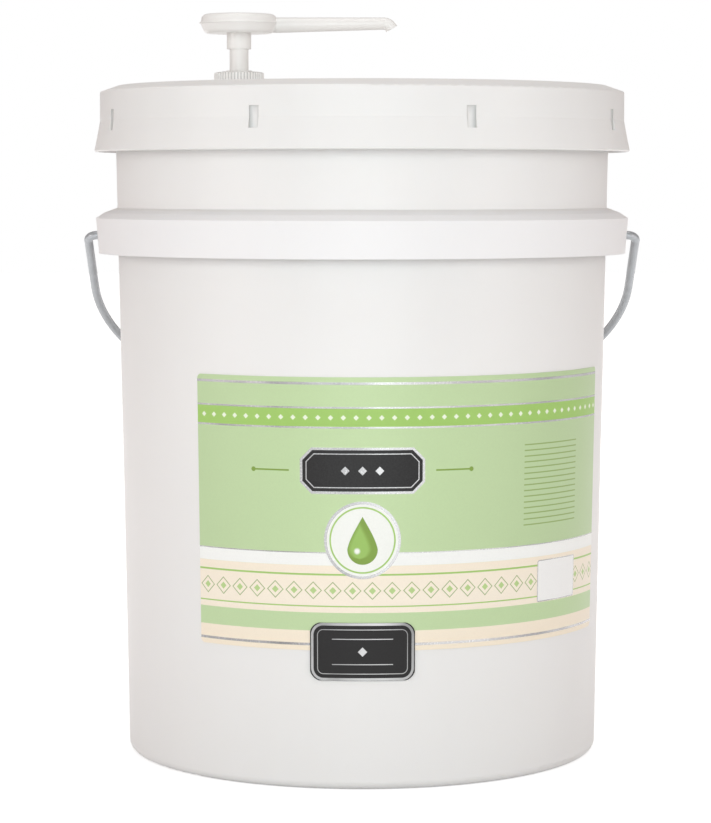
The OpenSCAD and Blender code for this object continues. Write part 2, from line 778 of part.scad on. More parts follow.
// A helix of the given rise, swept with six sides and closed at both ends.
module helix(r, wire, rise, turns) {
  sides = 6;
  rings = round(turns * 16);
  points = [for (i = [0:rings], k = [0:sides - 1])
    let (t = i / rings, a = 360 * turns * t, b = 360 * k / sides, w = wire * cos(b))
      [(r + w) * cos(a), (r + w) * sin(a), wire + t * (rise - 2 * wire) + wire * sin(b)]];
  skin = [for (i = [0:rings - 1], k = [0:sides - 1])
    let (n = (k + 1) % sides, p = i * sides)
      [p + k, p + n, p + sides + n, p + sides + k]];
  ends = [[for (k = [sides - 1:-1:0]) k], [for (k = [0:sides - 1]) rings * sides + k]];
  polyhedron(points, concat(skin, ends));
}

module return_spring() {
  color("silver") at_pump() translate([0, 0, cage_z + seat_gap / 2])
    helix(spring_r, spring_wire_d / 2, stem_bottom_z - cage_z - seat_gap, spring_turns);
}

module inlet_ball() {
  color("silver") at_pump() translate([0, 0, inlet_ball_z]) sphere(inlet_ball_r);
}

module dip_tube() {
  color("ghostwhite") at_pump() difference() {
    translate([0, 0, dip_bottom_z]) cylinder(r = dip_r, h = dip_top_z - dip_bottom_z);
    translate([0, 0, dip_bottom_z - 1]) cylinder(r = dip_r - dip_wall, h = dip_top_z - dip_bottom_z + 2);
    translate([0, 0, dip_bottom_z]) rotate([0, -45, 0]) translate([-dip_d, -dip_d, -2 * dip_d])
      cube([4 * dip_d, 2 * dip_d, 2 * dip_d]);
  }
}

// ---- Piston, stem and outlet valve ----

module piston() {
  lip = 2.2;
  bore = stem_r + run_fit;
  outer = barrel_r - run_fit;
  color("whitesmoke") at_pump() rotate_extrude() difference() {
    polygon([
      [bore, piston_z], [outer - lip, piston_z], [outer - 0.6, piston_z],
      [outer, piston_z + lip], [outer - 0.8, piston_z + lip + 1.5],
      [outer - 0.8, piston_top_z - lip - 1.5], [outer, piston_top_z - lip],
      [outer - 0.6, piston_top_z], [bore, piston_top_z]
    ]);
    for (z = [piston_z, piston_top_z]) translate([(bore + outer) / 2 + 0.2, z]) circle(0.7, $fn = 32);
  }
}

module piston_stem() {
  color("ivory") at_pump() difference() {
    union() {
      translate([0, 0, stem_bottom_z]) cylinder(r = stem_r, h = stem_top_z - stem_bottom_z);
      translate([0, 0, stem_bottom_z]) cylinder(r = stop_r, h = stem_foot_h);
      translate([0, 0, stop_top_z - stop_h]) cylinder(r = stop_r, h = stop_h);
    }
    translate([0, 0, stem_bottom_z - 1]) cylinder(r = stem_bore_r, h = stem_top_z - stem_bottom_z + 2);
    translate([0, 0, outlet_seat_z]) cylinder(r = valve_r, h = stem_top_z - outlet_seat_z + 1);
  }
}

module outlet_ball() {
  color("silver") at_pump() translate([0, 0, outlet_ball_z]) sphere(outlet_ball_r);
}

// ---- Head and spout ----

module head_bowl_section() {
  edge = 1.6;
  difference() {
    union() {
      polygon([
        [0, head_z], [head_bottom_r - edge, head_z], [head_bottom_r - edge * 0.3, head_z + edge * 0.4],
        [head_bottom_r + 0.2, head_z + edge], [head_r, parting_z - 0.8],
        [head_r + head_lip, parting_z - 0.5], [head_r + head_lip, parting_z], [0, parting_z]
      ]);
    }
    polygon([
      [sleeve_r, head_z + head_wall], [head_bottom_r - head_wall - 0.6, head_z + head_wall],
      [head_r - head_wall - 0.4, parting_z + 1], [sleeve_r, parting_z + 1]
    ]);
  }
}

module channel(r, from, to) {
  translate([from, 0, spout_z]) rotate([0, 90, 0]) cylinder(r = r, h = to - from);
}

module head_body() {
  color("ivory") at_pump() difference() {
    union() {
      rotate_extrude() head_bowl_section();
      translate([0, 0, sleeve_z]) cylinder(r = sleeve_r, h = parting_z - sleeve_z);
      intersection() {
        channel(spout_root_d / 2, 0, head_r);
        translate([0, 0, head_z + 0.4]) cylinder(r = head_r - 0.4, h = head_low_h + 5);
      }
      for (a = [60:60:300]) rotate([0, 0, a]) translate([sleeve_r - 1, -0.7, head_z + 0.8])
        cube([head_bottom_r - sleeve_r - 0.4, 1.4, head_low_h - 0.8]);
    }
    translate([0, 0, sleeve_z - 1]) cylinder(r = stem_r + 0.02, h = stem_top_z - sleeve_z + 1);
    translate([0, 0, stem_top_z - 1]) cylinder(r = valve_r - 0.8, h = spout_z - stem_top_z + 1);
    channel(spout_bore_d / 2, 0, head_r + 2);
    channel(spout_plug_r + 0.05, spout_root_x - plug_len, head_r + 2);
    translate([spout_root_x - 0.05, -spout_root_d, head_z - 1])
      cube([head_r, 2 * spout_root_d, spout_root_d + 3]);
  }
}

module head_cap_section() {
  top = parting_z + head_cap_h;
  difference() {
    intersection() {
      union() {
        polygon([
          [0, parting_z], [head_r + head_lip * 0.6, parting_z], [head_r, parting_z + 0.9],
          [head_r - 0.2, top - head_round - 0.6], [head_r - head_round - 0.2, top - 0.6], [0, top]
        ]);
        translate([head_r - head_round - 0.2, top - head_round - 0.6]) circle(head_round);
      }
      translate([0, parting_z]) square([head_r + head_lip, head_cap_h]);
    }
    polygon([
      [-1, parting_z - 1], [head_r - head_wall, parting_z - 1],
      [head_r - head_wall - 0.3, top - head_round - head_wall],
      [head_r - head_round - head_wall, top - head_wall - 1], [-1, top - head_wall - 1]
    ]);
  }
}

module head_cap() {
  clear = spout_root_d / 2 + 0.1;
  color("ivory") at_pump() difference() {
    rotate_extrude() head_cap_section();
    channel(clear, 0, head_r + 5);
    translate([spout_root_x - 0.05, -clear, parting_z - 1]) cube([head_r, 2 * clear, spout_z - parting_z + 1]);
  }
}

// The spout's outside or its bore: a tapered run, a ball at the joint, the bend and the tip.
module spout_run(root_r, tip_r, extra) {
  bead = 0.03;
  lip = 0.12;
  overlap = 0.3;
  translate([spout_root_x, 0, spout_z]) rotate([0, 90 - spout_pitch, 0])
    cylinder(r1 = root_r, r2 = tip_r, h = spout_len / cos(spout_pitch));
  translate([bend_x, 0, bend_z]) sphere(tip_r + bead);
  translate([bend_x, 0, bend_z - tip_bend_r]) {
    rotate([90, tip_bend - 90, 0])
      rotate_extrude(angle = tip_bend) translate([tip_bend_r, 0]) circle(tip_r, $fn = 48);
    rotate([0, tip_bend, 0]) translate([-overlap, 0, tip_bend_r]) rotate([0, 90, 0])
      cylinder(r = tip_r + lip, h = tip_len + overlap + extra);
  }
}

module spout() {
  bore_r = spout_bore_d / 2;
  color("ivory") at_pump() difference() {
    union() {
      spout_run(spout_root_d / 2, spout_tip_d / 2, 0);
      channel(spout_plug_r, spout_root_x - plug_len + 0.2, spout_root_x + 1);
    }
    channel(bore_r + 0.15, spout_root_x - plug_len - 1, spout_root_x + 1);
    spout_run(bore_r, bore_r, 3);
  }
}

pail();
pail_rim();
label();
label_badge();
bail_wire();
bail_grip();
lid();
lid_gasket();
pump_closure();
neck_gasket();
pump_housing();
pump_collar();
stem_seal();
spring_seat();
return_spring();
inlet_ball();
dip_tube();
piston();
piston_stem();
outlet_ball();
head_body();
head_cap();
spout();
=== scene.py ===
"""Looks of a round plastic pail with a label, a press-on lid and a press-down pump.

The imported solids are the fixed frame, in metres. Every piece made here rides on one of its bodies.
"""

import json
import math

import bpy
from bpy.props import FloatProperty, FloatVectorProperty, IntProperty, PointerProperty
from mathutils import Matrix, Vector


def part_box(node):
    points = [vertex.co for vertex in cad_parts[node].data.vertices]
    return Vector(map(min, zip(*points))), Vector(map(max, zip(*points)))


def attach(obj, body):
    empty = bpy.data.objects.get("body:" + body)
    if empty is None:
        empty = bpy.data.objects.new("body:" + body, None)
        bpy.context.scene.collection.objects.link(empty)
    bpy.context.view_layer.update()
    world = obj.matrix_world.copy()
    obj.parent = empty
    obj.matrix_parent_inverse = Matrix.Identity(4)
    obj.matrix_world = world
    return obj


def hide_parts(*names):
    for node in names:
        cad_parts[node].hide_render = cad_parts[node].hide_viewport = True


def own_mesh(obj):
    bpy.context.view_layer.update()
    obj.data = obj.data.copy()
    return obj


bl_info = {
    "name": "Pail with lid pump",
    "version": (1, 0, 0),
    "blender": (4, 5, 0),
    "location": "3D View > Sidebar > Pail",
    "description": "Dresses the solids of a pail, its lid and its pump with finishes and fine detail",
    "category": "Object",
}

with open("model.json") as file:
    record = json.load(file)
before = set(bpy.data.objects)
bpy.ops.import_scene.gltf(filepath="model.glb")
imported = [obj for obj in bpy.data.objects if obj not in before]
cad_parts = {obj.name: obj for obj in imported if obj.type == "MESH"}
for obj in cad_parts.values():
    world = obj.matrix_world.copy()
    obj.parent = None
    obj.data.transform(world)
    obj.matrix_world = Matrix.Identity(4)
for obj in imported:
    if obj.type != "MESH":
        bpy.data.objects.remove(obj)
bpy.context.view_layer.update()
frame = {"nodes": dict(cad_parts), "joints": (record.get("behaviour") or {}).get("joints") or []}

# Patterns are drawn in millimetres, and Blender's own lengths are in metres.
MM = 1000.0
# Softness of a printed edge and of a finer one, in millimetres.
EDGE, FINE_EDGE = 0.12, 0.1


def colour(name, default, description):
    """A colour setting in the sidebar."""
    return FloatVectorProperty(name=name, description=description, subtype="COLOR", size=3,
                               min=0.0, max=1.0, default=default)


def length(name, default, description):
    """A length setting in the sidebar, in metres."""
    return FloatProperty(name=name, description=description, default=default, unit="LENGTH",
                         min=0.0)


def share(name, default, description):
    """A setting from 0 to 1 in the sidebar."""
    return FloatProperty(name=name, description=description, default=default, subtype="FACTOR",
                         min=0.0, max=1.0)


def watts(name, default, description):
    """The power of a lamp in the sidebar."""
    return FloatProperty(name=name, description=description, default=default, unit="POWER", min=0.0)


class MouldedFinish(bpy.types.PropertyGroup):
    """Colours and surface of the moulded plastics."""

    body: colour("Pail", (0.872, 0.862, 0.850), "Colour of the pail's polyethylene")
    ring: colour("Ring", (0.885, 0.878, 0.882), "Colour of the thinner plastic of the handle ring")
    lid: colour("Lid", (0.838, 0.832, 0.820), "Colour of the lid's polyethylene")
    pump: colour("Pump", (0.86, 0.85, 0.83), "Colour of the pump's polypropylene")
    closure: colour("Closure", (0.905, 0.902, 0.885), "Colour of the closure's polypropylene")
    barrel: colour("Barrel", (0.80, 0.81, 0.80), "Colour of the pump parts inside the pail")
    body_roughness: share("Pail roughness", 0.42, "Roughness of pail and lid")
    pump_roughness: share("Pump roughness", 0.30, "Roughness of the pump's outer parts")
    grain: length("Grain", 0.0011, "Size of the finest grain on the mouldings")


class MetalFinish(bpy.types.PropertyGroup):
    """Colours of the metal and rubber parts."""

    wire: colour("Bail wire", (0.43, 0.45, 0.47), "Colour of the zinc on the wire")
    wire_roughness: share("Wire roughness", 0.42, "Roughness of the zinc on the wire")
    wire_metal: share("Wire metal", 0.55, "How bare the metal of the wire looks")
    spring: colour("Spring", (0.60, 0.60, 0.61), "Colour of the spring wire")
    spring_roughness: share("Spring roughness", 0.28, "Roughness of the spring wire")
    ball: colour("Balls", (0.74, 0.74, 0.75), "Colour of the valve balls")
    ball_roughness: share("Ball roughness", 0.12, "Roughness of the valve balls")
    rubber: colour("Seals", (0.17, 0.17, 0.165), "Colour of the soft seals")


class LabelDesign(bpy.types.PropertyGroup):
    """Colours and places of the printed label."""

    ground: colour("Ground", (0.545, 0.700, 0.400), "Pale green that the label is printed on")
    band: colour("Band", (0.375, 0.610, 0.155), "Bright green of the band")
    leaf: colour("Leaf green", (0.230, 0.365, 0.065), "Dark green of the fine print")
    cream: colour("Cream", (0.960, 0.850, 0.690), "Cream of the lower field")
    black: colour("Black", (0.013, 0.012, 0.0125), "Black of plate and badge")
    foil: colour("Foil", (0.42, 0.42, 0.425), "Silver of frames and hairlines")
    sheen: share("Roughness", 0.34, "Roughness of the printed film")


class StageLight(bpy.types.PropertyGroup):
    """Camera, lamps and floor."""

    distance: length("Distance", 1.7, "Distance of the camera from the pail's axis")
    eye: length("Eye height", 0.3326, "Height of the camera over the floor")
    pitch: FloatProperty(name="Pitch", description="How far the camera looks down",
                         default=math.radians(4.528), subtype="ANGLE")
    lens: FloatProperty(name="Lens", description="Focal length in millimetres", default=126.17,
                        unit="CAMERA", min=10.0)
    side: FloatProperty(name="Side step", description="Camera's place to the side",
                        default=-0.00383, unit="LENGTH")
    front: watts("Front lamp", 20.4, "Power of the front lamp")
    flank: watts("Side lamps", 9.6, "Power of each side lamp")
    right_share: share("Right side", 0.88, "Share of that power that the right side lamp has")
    rear: watts("Rear lamps", 9.0, "Power of each rear lamp")
    top: watts("Top lamp", 16.0, "Power of the lamp overhead")
    front_tone: colour("Front tone", (0.87, 0.975, 1.0), "Colour of the front lamp")
    flank_tone: colour("Side tone", (1.0, 0.905, 0.88), "Colour of the side lamps")
    sky: share("Sky", 0.42, "Strength of the light from all round")
    sky_tone: colour("Sky tone", (1.0, 0.925, 0.895), "Colour of the light from all round")


# ---- Shader building ----

# A Mix node has sockets of the same name for numbers and colours, so its colours go by place.
COLOUR_A, COLOUR_B, MIXED_COLOUR = 6, 7, 2


class Field:
    """A number that a shader works out at each point, with the usual operators."""

    def __init__(self, paint, socket):
        self.paint, self.socket = paint, socket

    def calc(self, operation, *others):
        """The result of one Math node on this number and others."""
        node = self.paint.add("ShaderNodeMath", operation=operation)
        for slot, value in zip(node.inputs, (self, *others)):
            self.paint.feed(slot, value)
        return Field(self.paint, node.outputs[0])

    def __add__(self, other):
        return self.calc("ADD", other)

    def __sub__(self, other):
        return self.calc("SUBTRACT", other)

    def __mul__(self, other):
        return self.calc("MULTIPLY", other)

    def __truediv__(self, other):
        return self.calc("DIVIDE", other)

    def __neg__(self):
        return self.calc("MULTIPLY", -1.0)

    def __rsub__(self, other):
        return -self + other

    def smaller(self, other):
        """The lower of two numbers."""
        return self.calc("MINIMUM", other)

    def larger(self, other):
        """The higher of two numbers."""
        return self.calc("MAXIMUM", other)

    def size(self):
        """The number without its sign."""
        return self.calc("ABSOLUTE")

    def off(self, middle):
        """How far the number lies from another one, to either side."""
        return (self - middle).size()

    def nearest(self, pitch):
        """How far the number lies from the middle of its cell in a row of equal cells."""
        step = self / pitch
        return (step - step.calc("FLOOR")).off(0.5) * pitch

    def ramp(self, low, high, to_low=0.0, to_high=1.0, curve="LINEAR"):
        """The number scaled from one range to another, and held at its ends."""
        node = self.paint.add("ShaderNodeMapRange", interpolation_type=curve)
        self.paint.feed(node.inputs["Value"], self)
        ends = {"From Min": low, "From Max": high, "To Min": to_low, "To Max": to_high}
        for name, value in ends.items():
            node.inputs[name].default_value = value
        return Field(self.paint, node.outputs["Result"])

    def inside(self, edge=EDGE):
        """1 where a signed distance in millimetres is below 0, 0 outside, soft over the edge."""
        return self.ramp(-edge, edge, 1.0, 0.0, curve="SMOOTHSTEP")


class Paint:
    """One material in the making: its nodes, its Principled shader and short ways to join them."""

    def __init__(self, name):
        self.material = bpy.data.materials.new(name)
        self.material.use_nodes = True
        self.tree = self.material.node_tree
        self.tree.nodes.clear()
        self.shader = self.add("ShaderNodeBsdfPrincipled")
        self.output = self.add("ShaderNodeOutputMaterial")
        self.join(self.shader.outputs[0], self.output.inputs["Surface"])
        self.place = self.add("ShaderNodeTexCoord").outputs["Object"]

    def add(self, kind, **settings):
        """A new node with its settings."""
        node = self.tree.nodes.new(kind)
        for name, value in settings.items():
            setattr(node, name, value)
        return node

    def join(self, source, target):
        """Joins two sockets."""
        self.tree.links.new(source, target)

    def feed(self, slot, value):
        """Gives an input a number, a colour or another node's output."""
        if isinstance(value, Field):
            self.join(value.socket, slot)
        elif isinstance(value, bpy.types.NodeSocket):
            self.join(value, slot)
        elif isinstance(value, (int, float)):
            slot.default_value = value
        else:
            slot.default_value = (*value, 1.0) if len(slot.default_value) == 4 else tuple(value)

    def set(self, **values):
        """Sets the shader's own sockets, with _ for a space."""
        for name, value in values.items():
            self.feed(self.shader.inputs[name.replace("_", " ")], value)

    def noise(self, size, detail=2.0, rough=0.5, stretch=(1.0, 1.0, 1.0)):
        """Noise whose blotches are about size metres wide, and longer where stretch is low."""
        mapping = self.add("ShaderNodeMapping")
        self.join(self.place, mapping.inputs["Vector"])
        mapping.inputs["Scale"].default_value = stretch
        node = self.add("ShaderNodeTexNoise")
        self.join(mapping.outputs[0], node.inputs["Vector"])
        node.inputs["Scale"].default_value = 1.0 / size
        node.inputs["Detail"].default_value = detail
        node.inputs["Roughness"].default_value = rough
        return Field(self, node.outputs["Fac"])

    def mix(self, factor, low, high):
        """Two colours mixed."""
        node = self.add("ShaderNodeMix", data_type="RGBA")
        self.feed(node.inputs["Factor"], factor)
        self.feed(node.inputs[COLOUR_A], low)
        self.feed(node.inputs[COLOUR_B], high)
        return node.outputs[MIXED_COLOUR]

    def bump(self, height, distance, strength, under=None):
        """A bump of the given depth in metres, over another one."""
        node = self.add("ShaderNodeBump")
        self.feed(node.inputs["Height"], height)
        node.inputs["Distance"].default_value = distance
        node.inputs["Strength"].default_value = strength
        if under is not None:
            self.join(under, node.inputs["Normal"])
        return node.outputs["Normal"]

    def axes(self):
        """Object coordinates in millimetres, one number for each axis."""
        node = self.add("ShaderNodeSeparateXYZ")
        self.join(self.place, node.inputs[0])
        return [Field(self, out) * MM for out in node.outputs]


def tint(base, factor):
    """A colour made lighter or darker."""
    return tuple(min(1.0, part * factor) for part in base)


def reach(x, y):
    """How far a point of a plane lies from the plane's origin."""
    return (x * x + y * y).calc("SQRT")


def ring_tone(paint, ground, tone, radius):
    """Another tone on all that stands out past a radius in millimetres."""
    x, y, _ = paint.axes()
    return paint.mix((reach(x, y) - radius).ramp(-1.0, 1.0), ground, tone)


def pocket_shade(paint, ground, tone, pockets):
    """Painted shade in the pockets of a round skirt, darker towards their sides and their top, all in
    millimetres.
    """
    count, radius, middle, half_height, half_width = pockets
    margin, floor_depth, floor_half = 0.1, 1.05, 1.2
    x, y, z = paint.axes()
    across = (x.calc("ARCTAN2", y) * radius).nearest(math.tau * radius / count)
    out, over = reach(x, y), z.off(middle)
    inside = (out - (radius - margin)).inside(FINE_EDGE)
    for distance in (out.off(radius - floor_depth) - floor_half, over - half_height - margin,
                     across - half_width - margin):
        inside = inside * distance.inside(FINE_EDGE)
    rise = (z - middle).ramp(half_height * 0.2, half_height, 0.0, 0.5)
    side = across.ramp(half_width * 0.3, half_width)
    return paint.mix(inside * side.larger(rise), ground, tone)


def rib_shade(paint, ground, tone, ribs):
    """A darker tone down between the ribs of an upright round piece, all in millimetres."""
    centre_x, centre_y, root, crest = ribs
    x, y, _ = paint.axes()
    out = reach(x - centre_x, y - centre_y)
    deep = out.ramp(root + 0.05, crest - 0.1, 1.0, 0.0) * (root - 0.3 - out).inside(FINE_EDGE)
    return paint.mix(deep, ground, tone)


# Moulded plastic: sizes of its cloudy patches, flow marks and scratches, in metres.
CLOUD, FLOW, SCRATCH = 0.11, 0.02, 0.0016
# Depths of its dimples, its grain and a mould seam, in metres.
PEEL_DEPTH, GRAIN_DEPTH, SEAM_DEPTH = 0.00004, 0.000012, 0.0001
# Half the width of a mould seam and half the height of a rubbed zone, in millimetres.
SEAM_HALF, RUBBED_HALF = 0.12, 9.0
# How dark the plastic looks with painted shade in pockets, with painted shade between ribs, or where
# rubbed.
POCKET_SHADE, SHADED, RUBBED = 0.70, 0.74, 0.72


def moulded(name, base, roughness, grain, scuff_height=None, seam=None, relief=1.0, depth=0.06,
            ring=None, pockets=None, ribs=None):
    """Moulded polyolefin: flow marks, fine grain, rubbed patches near a height, a seam at a y.

    Grain, heights and the seam's place are in metres. Depth is the share of light that goes
    under the surface.
    """
    paint = Paint(name)
    cloud = paint.noise(CLOUD, 3.0)
    flow = paint.noise(FLOW, stretch=(1.0, 1.0, 0.12))
    fine = paint.noise(grain, rough=0.6)
    peel = paint.noise(grain * 6.0)
    shade = (cloud - 0.5) * 0.030 + (flow - 0.5) * 0.020
    tone = paint.mix(shade.ramp(-0.02, 0.02), tint(base, 0.975), tint(base, 1.01))
    if ring is not None:
        tone = ring_tone(paint, tone, *ring)
    if pockets is not None:
        # Painted shade in the pockets, deepest against their sides and top.
        tone = pocket_shade(paint, tone, tint(base, POCKET_SHADE), pockets)
    if ribs is not None:
        tone = rib_shade(paint, tone, tint(base, SHADED), ribs)
    rough = flow.ramp(0.3, 0.7, roughness - 0.05, roughness + 0.05) + (cloud - 0.5) * 0.08
    if scuff_height is not None:
        scratch = paint.noise(SCRATCH, 3.0, 0.7, stretch=(0.10, 0.10, 1.0)).ramp(0.62, 0.72)
        near = paint.axes()[2].off(scuff_height * MM).ramp(0.0, RUBBED_HALF, 1.0, 0.0)
        worn = scratch * near * cloud.ramp(0.45, 0.60)
        tone = paint.mix(worn * 0.35, tone, tint(base, RUBBED))
        rough = rough + worn * 0.2
    normal = paint.bump(peel, PEEL_DEPTH, 0.5 * relief)
    normal = paint.bump(fine, GRAIN_DEPTH, 0.6 * relief, normal)
    if seam is not None:
        line = (paint.axes()[1].off(seam * MM) - SEAM_HALF).inside(FINE_EDGE)
        normal = paint.bump(line, SEAM_DEPTH, 0.7, normal)
    paint.set(Base_Color=tone, Roughness=rough, Normal=normal, IOR=1.50,
              Subsurface_Weight=depth, Subsurface_Radius=(0.006, 0.005, 0.004),
              Subsurface_Scale=1.0, Specular_IOR_Level=0.45)
    return paint.material


def zinc(name, base, roughness, metallic=1.0):
    """Zinc plated or drawn wire: mottled, with fine draw lines."""
    paint = Paint(name)
    spangle = paint.noise(0.006)
    lines = paint.noise(0.0007, 3.0, 0.6, stretch=(0.25, 0.25, 1.0))
    tone = paint.mix(spangle.ramp(0.3, 0.7), tint(base, 0.94), tint(base, 1.05))
    rough = lines.ramp(0.3, 0.7, roughness - 0.07, roughness + 0.08) + (spangle - 0.5) * 0.12
    paint.set(Base_Color=tone, Roughness=rough, Metallic=metallic,
              Normal=paint.bump(lines, 0.00001, 0.5))
    return paint.material


def soft(name, base, roughness, cell):
    """Rubber or foam with a matt skin."""
    paint = Paint(name)
    skin = paint.noise(cell, 3.0, 0.65)
    paint.set(Base_Color=paint.mix(skin.ramp(0.3, 0.7), tint(base, 0.85), tint(base, 1.1)),
              Roughness=skin.ramp(0.2, 0.8, roughness - 0.06, roughness + 0.06),
              Normal=paint.bump(skin, cell * 0.08, 0.6))
    return paint.material


def clear_tube(name, base):
    """Natural polypropylene that lets some light through."""
    paint = Paint(name)
    cloud = paint.noise(0.02)
    fine = paint.noise(0.0008)
    paint.set(Base_Color=paint.mix(cloud, tint(base, 0.96), tint(base, 1.03)),
              Roughness=fine.ramp(0.3, 0.7, 0.26, 0.34), Transmission_Weight=0.25, IOR=1.49,
              Subsurface_Weight=0.2, Subsurface_Radius=(0.004, 0.004, 0.004),
              Subsurface_Scale=1.0, Normal=paint.bump(fine, 0.00001, 0.5))
    return paint.material


# ---- Printed label ----

# Heights of the print's parts over the label's lower edge, in millimetres.
BELT = 128.0
PLATE = 99.0
MEDAL = 61.0
WHITE_BAND = 50.5
CREAM_TOP = 47.0
LOZENGES = 33.2
CREAM_GLOW = 30.0
LOW_BAND = 16.0
# Radius of the medallion, and how far from the middle the rules beside the plate start and end.
MEDAL_RADIUS = 20.5
RULE_START, RULE_END = 41.0, 62.0
# Inks that a user seldom changes.
WARM_WHITE = (0.98, 0.93, 0.84)
COOL_WHITE = (0.955, 0.965, 0.94)
PALE_LEAF = (0.86, 0.93, 0.74)
MEDAL_WHITE = (0.93, 0.945, 0.90)
PANEL_WHITE = (0.94, 0.94, 0.93)
SPARKLE = (0.95, 0.97, 0.90)
FIBRE_GREY = (0.2, 0.2, 0.2)
# Widths and depths of the film's fibres and slow waves, and the depth of the foil, in metres.
FIBRE, FIBRE_DEPTH = 0.0009, 0.000006
WAVE, WAVE_DEPTH = 0.045, 0.0006
FOIL_DEPTH = 0.00004


def panel_distance(u, v, centre, half, corner):
    """Signed distance in millimetres to a rectangle with round corners."""
    du, dv = u.off(centre[0]) - (half[0] - corner), v.off(centre[1]) - (half[1] - corner)
    return reach(du.larger(0.0), dv.larger(0.0)) + du.larger(dv).smaller(0.0) - corner


def disc_distance(u, v, centre, radius):
    """Signed distance in millimetres to a disc."""
    return reach(u - centre[0], v - centre[1]) - radius


def drop_distance(u, v, centre, radius, rise):
    """Roughly the distance in millimetres to a drop with its tip up."""
    du, dv = u.off(centre[0]), v - centre[1]
    up, low = (dv.larger(0.0) / rise).smaller(1.3), dv.smaller(0.0)
    width = (1.0 - up * up) * (1.0 - up * 0.42) * radius
    belly = (radius * radius - low * low).larger(0.0).calc("SQRT")
    return du - belly.smaller(width) + (-low - radius).larger(0.0)


class Print:
    """The print on a film bent round the pail: inks on a ground, and foil over them.

    Its u runs round the wall from the front and its v runs up from a height, in millimetres.
    """

    def __init__(self, paint, radius, low):
        x, y, z = paint.axes()
        self.paint, self.art = paint, None
        self.u, self.v = x.calc("ARCTAN2", -y) * radius, z - low
        self.foil = self.v * 0.0

    def ink(self, mask, tone):
        """Prints a tone where the mask is 1."""
        self.art = self.paint.mix(mask, self.art, tone)

    def stripe(self, middle, half, tone):
        """Prints a level stripe."""
        self.ink((self.v.off(middle) - half).inside(), tone)

    def gild(self, mask):
        """Lays foil where the mask is 1."""
        self.foil = self.foil.larger(mask)

    def silver(self, distance, half):
        """Lays a foil line on the edge of a shape."""
        self.gild((distance.size() - half).inside(FINE_EDGE))

    def foil_tone(self, base, size, stretch):
        """The foil's silver, brighter and darker in long streaks."""
        streak = self.paint.noise(size, stretch=(1.0, 1.0, stretch)).ramp(0.35, 0.65)
        return self.paint.mix(streak, tint(base, 0.6), tint(base, 1.5))


def print_ground(work, design):
    """Pale green with painted light, lighter towards the front and darker round the sides, over a
    white band and a cream field.
    """
    # Painted light: the green is lighter at the front and darker towards the sides.
    painted_front_light = work.u.size().ramp(0.0, 120.0)
    work.art = work.paint.mix(painted_front_light, tint(design.ground, 1.05), tint(design.ground, 0.95))
    cream = (work.v - CREAM_TOP).inside()
    work.ink(cream, design.cream)
    work.ink(work.v.off(CREAM_GLOW).ramp(0.0, 26.0, 1.0, 0.0) * cream * 0.4, WARM_WHITE)
    work.stripe(WHITE_BAND, 3.5, COOL_WHITE)
    work.silver(work.v - (WHITE_BAND + 3.5), 0.3)
    work.stripe(LOW_BAND, 5.0, tint(design.ground, 1.02))


def print_rows(work, design):
    """A fold of lozenges between two fine stripes, and a bright belt with small lozenges in it."""
    for middle, half in ((42.0, 0.5), (24.5, 0.35)):
        work.stripe(middle, half, design.band)
    lozenge = work.u.nearest(11.0) + work.v.off(LOZENGES)
    work.ink(((lozenge - 4.6).size() - 0.35).inside() * 0.8, design.leaf)
    work.ink((lozenge - 2.0).inside() * 0.8, design.band)
    belt = work.v.off(BELT) - 5.4
    work.ink(belt.inside(), design.band)
    work.silver(belt, 0.5)
    work.ink((work.u.nearest(7.0) + work.v.off(BELT) - 1.5).inside(), PALE_LEAF)


def print_plate(work, design):
    """Black plate with cut-off ends, a silver frame and three lozenges, between two green rules."""
    aside, over = work.u.size(), work.v.off(PLATE)
    plate = panel_distance(work.u, work.v, (0.0, PLATE), (34.0, 12.0), 1.0)
    plate = plate.larger((aside + over - 40.0) * math.sqrt(0.5))
    work.ink(plate.inside(), design.black)
    work.silver(plate, 0.7)
    work.silver(plate + 2.8, 0.25)
    gem = aside.smaller(aside.off(9.5)) + over - 2.4
    work.gild(gem.inside() * (plate + 4.0).inside())
    rule = (over - 0.45).inside() * (1.0 - (aside - RULE_START).inside(FINE_EDGE))
    work.ink(rule * (aside - RULE_END).inside(), design.leaf)
    work.ink(disc_distance(aside, work.v, (RULE_END, PLATE), 1.3).inside(), design.leaf)


def print_medallion(work, design):
    """Round medallion with a drop, over the white band."""
    medal = disc_distance(work.u, work.v, (0.0, MEDAL), MEDAL_RADIUS)
    work.ink(medal.inside(), MEDAL_WHITE)
    work.foil = work.foil * (1.0 - medal.inside())
    work.silver(medal, 0.8)
    work.ink(((medal + 2.6).size() - 0.45).inside(), design.band)
    drop = drop_distance(work.u, work.v, (0.0, MEDAL - 5.0), 8.4, 18.0)
    work.ink(drop.inside(), design.leaf)
    shine = drop_distance(work.u, work.v, (-1.6, MEDAL - 4.5), 5.6, 13.0)
    work.ink(shine.inside(1.6) * 0.75, design.band)
    glint = disc_distance(work.u, work.v, (-3.0, MEDAL - 6.0), 1.5)
    work.ink(glint.inside(0.8), SPARKLE)


def print_panels(work, design):
    """Ruled block and a bare white panel on the right."""
    area = panel_distance(work.u, work.v, (122.0, 88.0), (24.0, 24.0), 0.5)
    rules = (work.v.nearest(3.2) - 0.34).inside()
    work.ink(rules * area.inside() * 0.75, design.leaf)
    bare = panel_distance(work.u, work.v, (128.0, 33.0), (18.0, 11.5), 1.0)
    work.ink(bare.inside(), PANEL_WHITE)
    work.silver(bare, 0.3)


